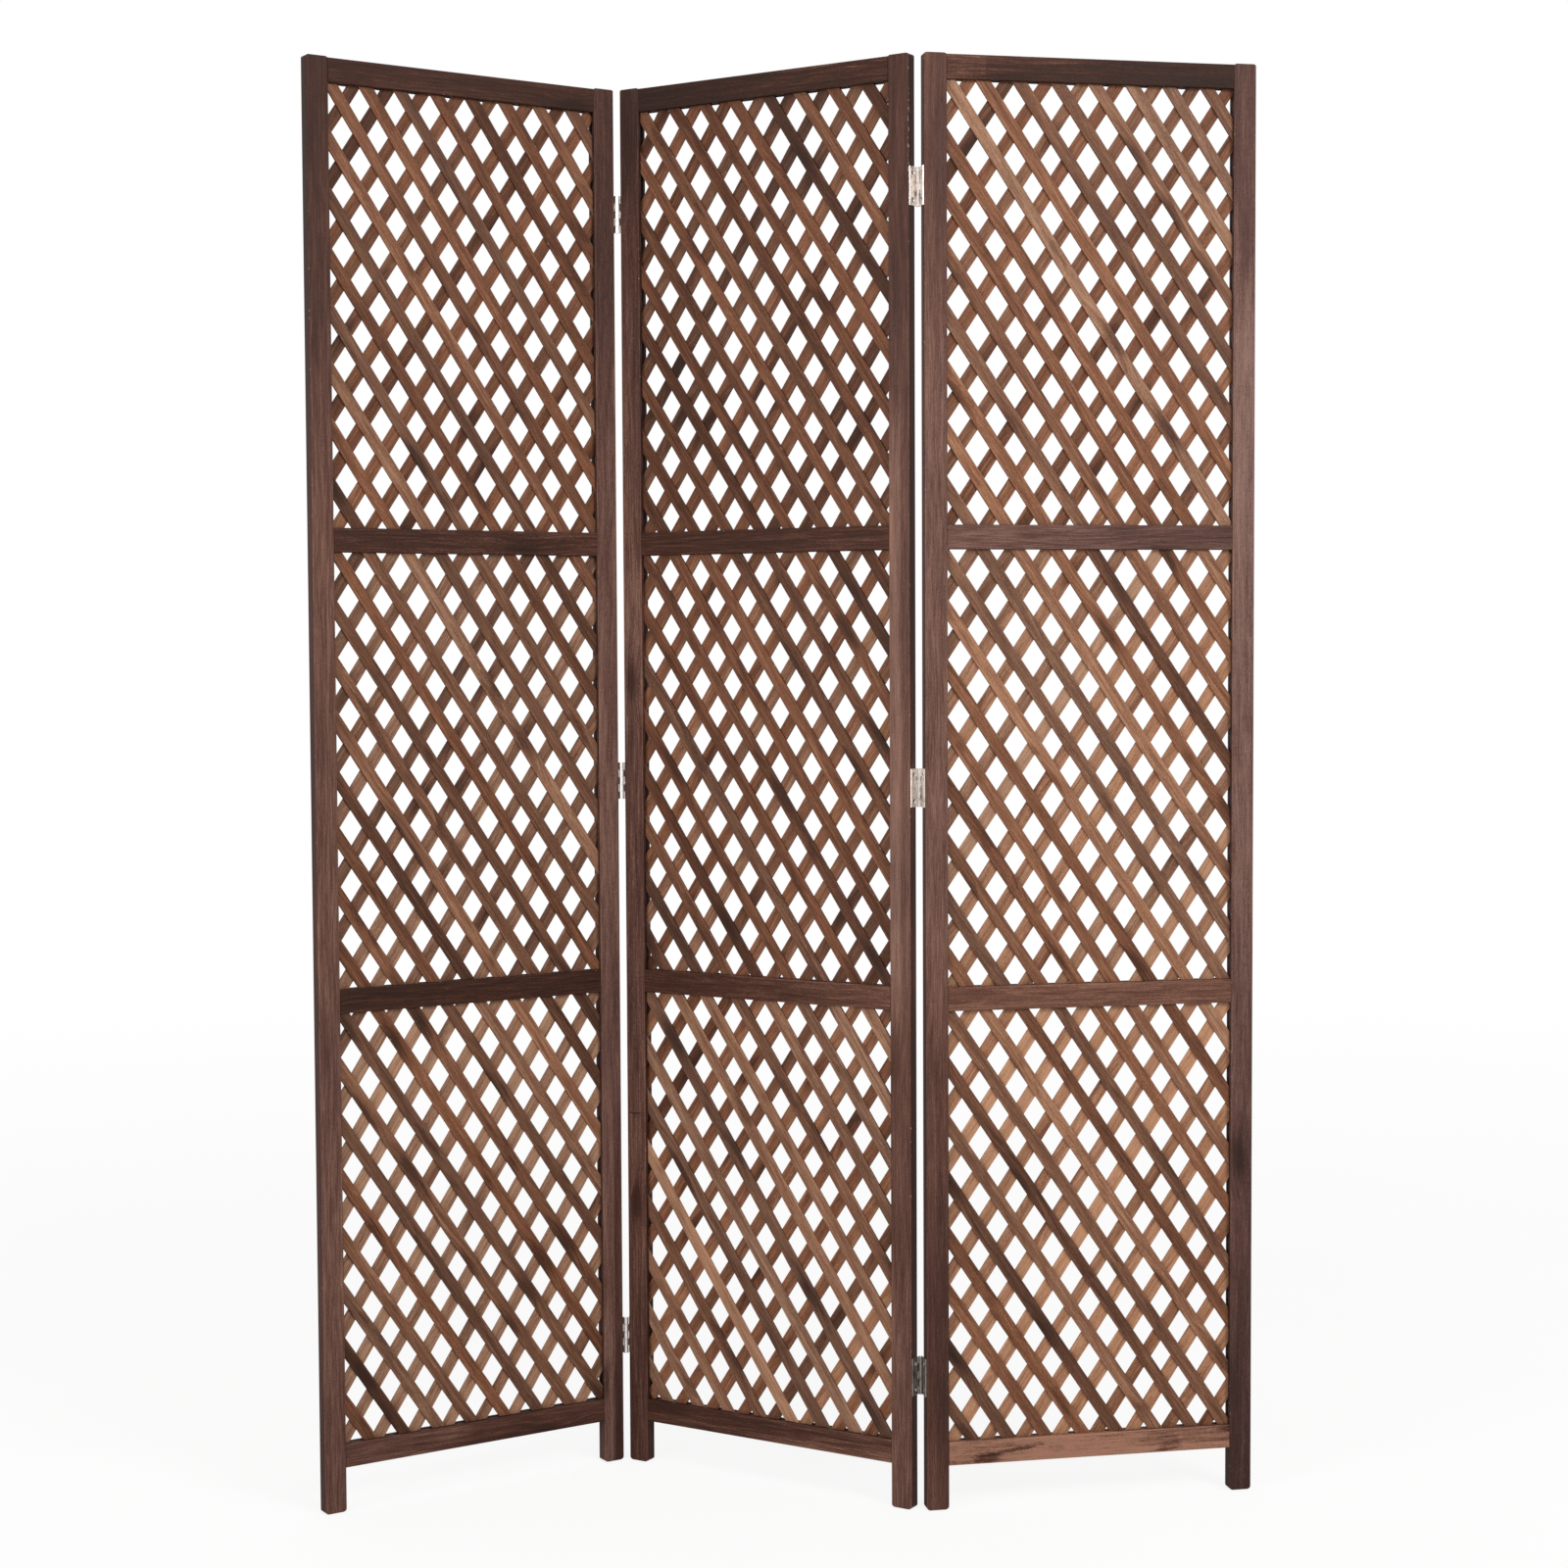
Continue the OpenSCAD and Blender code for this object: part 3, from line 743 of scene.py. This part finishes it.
def slat_mesh(k, side, shift, rng):
    """Points in the field's plane as (x, depth, z), their (across, depth, along), and the faces."""
    lean = SLAT_LEAN + math.radians(rng.uniform(*LEAN_OFF))
    along = (side * math.sin(lean), math.cos(lean))
    across = (side * math.cos(lean), -math.sin(lean))
    offset = k * SLAT_ACROSS + rng.uniform(*PLACE_OFF)
    half = SLAT_W / 2 + rng.uniform(*HALF_WIDTH_OFF)
    thick = SLAT_T - rng.uniform(*THICKNESS_LOSS)
    bow = rng.uniform(*BOW)
    waver = rng.uniform(0, math.tau)
    base_x = shift[0] + side * math.cos(SLAT_LEAN) * offset
    base_z = shift[1] - math.sin(SLAT_LEAN) * offset
    ring = slat_ring(half, thick)
    spans = []
    for a, _ in ring:
        spans.append(span_in_field((base_x + across[0] * a, base_z + across[1] * a), along))
    longest = max(high - low for low, high in spans)
    stations = max(4, round(longest / SLAT_STATION))
    points, places = [], []
    for i in range(stations + 1):
        share = i / stations
        belly = math.sin(math.pi * share)
        for (a, depth), (low, high) in zip(ring, spans):
            t = low + (high - low) * share
            ripple = RIPPLE_HEIGHT * math.sin(t * RIPPLE_PACE + waver) * (1 if a > 0 else -1)
            b = a + belly * (bow + ripple)
            x = base_x + along[0] * t + across[0] * b
            z = base_z + along[1] * t + across[1] * b
            points.append((x, depth, z))
            places.append((a * SLAT_W / 2 / half, depth - thick / 2, t))
    count = len(ring)
    faces = []
    for i in range(stations):
        for j in range(count):
            a, b = i * count + j, i * count + (j + 1) % count
            faces.append((a, b, b + count, a + count))
    faces.append(tuple(range(count)))
    faces.append(tuple(range(stations * count, (stations + 1) * count)))
    return points, places, faces


# Tone and warmth of the front and the rear layer of each field, from the floor up
LAYER_STOCK = {
    "left": (
        ((0.49, 0.60), (0.79, 0.05)),
        ((0.51, 0.60), (0.60, 0.05)),
        ((0.53, 0.60), (0.50, 0.85)),
    ),
    "middle": (
        ((0.61, 0.10), (0.57, 0.90)),
        ((0.44, 0.60), (0.56, 0.75)),
        ((0.47, 0.95), (0.44, 0.70)),
    ),
    "right": (
        ((0.54, 0.60), (0.81, 1.00)),
        ((0.61, 0.45), (0.75, 0.45)),
        ((0.62, 0.50), (0.59, 0.85)),
    ),
}

# Slats of clearly darker and of clearly lighter stock, by their number in the layer
NOTED_SLATS = {
    "left_bottom_front": ((-7, -6, 6), (-5, 5)),
    "left_bottom_rear": ((-7,), (6,)),
    "left_middle_front": ((-6, 4), (-2, -1)),
    "left_middle_rear": ((-7,), (0, 1)),
    "left_top_front": ((-4, 7), (5,)),
    "left_top_rear": ((-7, -6), (0, 5)),
    "middle_bottom_front": ((4,), (-2, -1, 3)),
    "middle_bottom_rear": ((-6, -5), (5,)),
    "middle_middle_front": ((-6, 4), (-2, 5)),
    "middle_middle_rear": ((7,), (-3, 1)),
    "middle_top_front": ((-7, -4, 4, 7), (1,)),
    "middle_top_rear": ((-7,), (-1, 0)),
    "right_bottom_front": ((6,), (-7, -1, 0)),
    "right_bottom_rear": ((4,), (-5, -4)),
    "right_middle_front": ((-4, 4), (1,)),
    "right_middle_rear": ((-6,), (-2, 7)),
    "right_top_front": ((-3,), (0, 6)),
    "right_top_rear": ((-6, -5), (-1, 5)),
}

# Chance spread of a slat's tone and warmth, and the step of tone of a noted slat
TONE_SPREAD = 0.05
WARMTH_SPREAD = 0.4
DARK_STEP = -0.15
LIGHT_STEP = 0.12
# One less than the seed of the first layer
LAYER_SEED = 100


def slat_stock(layer_name, layer_stock, k, rng):
    """Tone and warmth of one slat."""
    dark, light = NOTED_SLATS[layer_name]
    tone = layer_stock[0] + rng.gauss(0.0, TONE_SPREAD)
    if k in dark:
        tone += DARK_STEP
    elif k in light:
        tone += LIGHT_STEP
    return tone, layer_stock[1] + rng.uniform(-WARMTH_SPREAD, WARMTH_SPREAD)


def lattice_layer(panel, level, side, material, seed):
    """One layer of a field; side is -1 for the front layer and 1 for the rear one."""
    rng = random.Random(seed)
    layer = "front" if side < 0 else "rear"
    layer_name = f"{panel}_{FIELDS[level]}_{layer}"
    layer_stock = LAYER_STOCK[panel][level][side > 0]
    phase = FIELD_PHASES[panel][level]
    shift = (phase[0] * SLAT_STEP_X, phase[1] * SLAT_STEP_Z)
    middle_z = rail_z(level) + RAIL_H + OPEN_H / 2
    vertices, places, stocks, faces = [], [], [], []
    for k in range(-SLATS_TO_A_SIDE, SLATS_TO_A_SIDE + 1):
        points, local, slat_faces = slat_mesh(k, side, shift, rng)
        tone, warmth = slat_stock(layer_name, layer_stock, k, rng)
        first = len(vertices)
        grain = rng.uniform(1, 9)
        for x, depth, z in points:
            local_point = Vector((PANEL_W / 2 + x, FRAME_T / 2 + side * depth, middle_z + z))
            vertices.append(PLACES[panel] @ local_point)
        places.extend(local)
        stocks.extend([(tone, warmth, grain)] * len(points))
        faces.extend(tuple(first + i for i in face) for face in slat_faces)
    name = layer_name + "_lattice"
    mesh = bpy.data.meshes.new(name)
    mesh.from_pydata(vertices, [], faces)
    for label, values in (("place", places), ("stock", stocks)):
        attribute = mesh.attributes.new(label, "FLOAT_VECTOR", "POINT")
        attribute.data.foreach_set("vector", [number for value in values for number in value])
    orient_faces(mesh)
    mesh.materials.append(material)
    piece = bpy.data.objects.new(name, mesh)
    bpy.context.scene.collection.objects.link(piece)
    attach(piece, f"{panel}_panel")
    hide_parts(f"{panel}_panel_{FIELDS[level]}_{layer}_slats")


def orient_faces(mesh):
    """Turns all faces outwards."""
    work = bmesh.new()
    work.from_mesh(mesh)
    bmesh.ops.recalc_face_normals(work, faces=work.faces)
    work.to_mesh(mesh)
    work.free()


def make_lattice():
    material = slat_material()
    seed = LAYER_SEED
    for panel in PANELS:
        for level in range(len(FIELDS)):
            for side in (-1, 1):
                seed += 1
                lattice_layer(panel, level, side, material, seed)


# ---- Hinges ----

# Light and dark colour, and what the colour is multiplied by near the floor, which is painted
# light:
# painted shade on the darker nickel, a painted highlight on the screws and pins. The left joint's
# nickel is a lighter copy with a painted highlight, the right joint's a darker copy with painted
# shade.
NICKEL_PAINTED_SHADE = ((0.84, 0.775, 0.725), (0.36, 0.325, 0.30), (0.44, 0.42, 0.41))
NICKEL_PAINTED_HIGHLIGHT = ((0.93, 0.90, 0.87), (0.55, 0.52, 0.49), (1.0, 1.0, 1.0))
SCREW_STEEL = ((0.24, 0.23, 0.22), (0.10, 0.095, 0.09), (3.6, 3.6, 3.6))
NICKEL_ROUGHNESS = 0.34
STEEL_ROUGHNESS = 0.36
# Noise scales of the brushing along X, Y and Z, and of the tarnish
NICKEL_BRUSH = (900, 900, 60)
STEEL_BRUSH = (700, 700, 700)
STAIN_SCALES = (150, 150, 90)
# Shares of tarnish and brushing in the colour, their range in it, and what they add to roughness
STAIN_SHARE = 0.9
LINES_SHARE = 0.3
TARNISH_RISE = (0.35, 0.75)
STAIN_MATT = 0.25
LINES_MATT = 0.15
MEAN_MATT = 0.2
METAL_RELIEF = {"Strength": 0.25, "Distance": 0.00008}
# Heights, in metres, where the painted light towards the floor begins and is full
PAINTED_FLOOR_LIGHT_FADE = (0.6, 0.3)


def metal_material(name, light, dark, painted_floor_light, roughness, brush):
    """Satin metal with fine brushing and faint tarnish; near the floor its colour is multiplied by
    painted_floor_light, which is painted shade or a painted highlight.
    """
    material = bpy.data.materials.new(name)
    material.use_nodes = True
    graph = Graph(material.node_tree)
    place = graph.split(graph.node("ShaderNodeTexCoord").outputs["Object"])
    stain = graph.noise(graph.scaled(place, STAIN_SCALES), 4.0, 0.6)
    lines = graph.noise(graph.scaled(place, brush), 2.0, 0.5)
    value = graph.rise(graph.total((stain, STAIN_SHARE), (lines, LINES_SHARE)), *TARNISH_RISE)
    colour = graph.ramp(value, ((0.0, dark), (0.6, light), (1.0, light)))
    # Painted light near the floor: the colour is multiplied there, darker for painted shade,
    # lighter for a painted highlight
    colour = graph.blend(graph.rise(place[2], *PAINTED_FLOOR_LIGHT_FADE), colour, (*painted_floor_light, 1), "MULTIPLY")
    relief = graph.node("ShaderNodeBump", inputs={**METAL_RELIEF, "Height": lines})
    matt = graph.total((stain, STAIN_MATT), (lines, LINES_MATT), (1.0, roughness - MEAN_MATT))
    shader = material.node_tree.nodes["Principled BSDF"]
    shader.inputs["Metallic"].default_value = 1.0
    graph.feed(shader.inputs["Base Color"], colour)
    graph.feed(shader.inputs["Roughness"], matt)
    graph.feed(shader.inputs["Normal"], relief.outputs[0])
    return material


def dress_hinges(joint, nickel, steel):
    for name, node in frame["nodes"].items():
        if name.startswith(f"{joint}_hinge_"):
            for slot in node.material_slots:
                slot.material = steel if name.endswith("pin") else nickel


# Profile of a countersunk screw as (radius, depth from the leaf's outer face)
SCREW_PROFILE = (
    (0.00235, 0.00032),
    (0.00250, 0.00040),
    (0.00245, 0.00050),
    (SCREW_D / 2, LEAF_T),
    (SCREW_D / 2, SCREW_L - 0.003),
    (0.0006, SCREW_L - 0.0002),
)
SCREW_SIDES = 32
CROSS_REACH = 0.00135
CROSS_HALF = 0.00034
CROSS_DEPTH = 0.0011


def cross_outline(reach, half):
    """Corners of a cross recess, counter-clockwise."""
    corners = []
    for turn in range(4):
        c, s = ((1, 0), (0, 1), (-1, 0), (0, -1))[turn]
        for u, v in ((reach, -half), (reach, half), (half, half)):
            corners.append((u * c - v * s, u * s + v * c))
    return corners


def screw_mesh(work, place, twist):
    """Adds one screw to a bmesh; its axis is +Z into the wood, from the leaf's outer face."""
    turn = Matrix.Rotation(twist, 4, "Z")

    def ring(points, depth):
        return [work.verts.new(place @ turn @ Vector((u, v, depth))) for u, v in points]

    def bridge(first, second):
        for i in range(len(first)):
            j = (i + 1) % len(first)
            work.faces.new((first[i], first[j], second[j], second[i]))

    rings = []
    for radius, depth in SCREW_PROFILE:
        angles = [math.tau * i / SCREW_SIDES for i in range(SCREW_SIDES)]
        rings.append(ring([(radius * math.cos(a), radius * math.sin(a)) for a in angles], depth))
    for first, second in zip(rings, rings[1:]):
        bridge(first, second)
    work.faces.new(rings[-1])
    top = SCREW_PROFILE[0][1]
    mouth = ring(cross_outline(CROSS_REACH, CROSS_HALF), top)
    bottom = ring(cross_outline(CROSS_REACH * 0.45, CROSS_HALF * 0.7), top + CROSS_DEPTH)
    bridge(mouth, bottom)
    work.faces.new(bottom)
    edges = []
    for loop in (rings[0], mouth):
        for i in range(len(loop)):
            pair = (loop[i], loop[(i + 1) % len(loop)])
            edges.append(work.edges.get(pair) or work.edges.new(pair))
    bmesh.ops.triangle_fill(work, edges=edges, use_beauty=True)


def hinge_screws(material, node, panel, at_right, at_rear, seed):
    """The six screws in one stile's hinge leaves."""
    rng = random.Random(seed)
    work = bmesh.new()
    x = PANEL_W + LEAF_T if at_right else -LEAF_T
    y = FRAME_T - SCREW_Y if at_rear else SCREW_Y
    inwards = Matrix.Rotation(math.radians(-90 if at_right else 90), 4, "Y")
    for hinge_z in HINGE_Z:
        for end in (-1, 1):
            at = Matrix.Translation((x, y, hinge_z + end * SCREW_APART / 2))
            screw_mesh(work, PLACES[panel] @ at @ inwards, rng.uniform(0, math.tau))
    bmesh.ops.recalc_face_normals(work, faces=work.faces)
    name = node.replace("_screws", "_cross_screws")
    mesh = bpy.data.meshes.new(name)
    work.to_mesh(mesh)
    work.free()
    mesh.materials.append(material)
    piece = bpy.data.objects.new(name, mesh)
    bpy.context.scene.collection.objects.link(piece)
    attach(piece, f"{panel}_panel")
    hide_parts(node)


# Node, panel, whether the leaves are on its right edge, whether their pin is at the rear, seed
SCREW_SETS = (
    ("left_panel_hinge_screws", "left", True, False, 31),
    ("middle_panel_left_hinge_screws", "middle", False, False, 32),
    ("middle_panel_right_hinge_screws", "middle", True, True, 33),
    ("right_panel_hinge_screws", "right", False, True, 34),
)


def main():
    bpy.context.scene.view_settings.view_transform = "Standard"
    make_camera()
    make_world()
    for name, (at, size, watts) in SOFTBOXES.items():
        make_softbox(name, at, size, watts)
    make_floor()
    dress_frame()
    make_lattice()
    # The left joint gets a lighter nickel copy as a painted highlight, the right joint a darker one
    # as painted shade
    highlit_nickel = metal_material("nickel_painted_highlight", *NICKEL_PAINTED_HIGHLIGHT, NICKEL_ROUGHNESS, NICKEL_BRUSH)
    nickel = metal_material("nickel", *NICKEL_PAINTED_SHADE, NICKEL_ROUGHNESS, NICKEL_BRUSH)
    steel = metal_material("screw_steel", *SCREW_STEEL, STEEL_ROUGHNESS, STEEL_BRUSH)
    dress_hinges("left", highlit_nickel, steel)
    dress_hinges("right", nickel, steel)
    for screw_set in SCREW_SETS:
        hinge_screws(steel, *screw_set)


main()
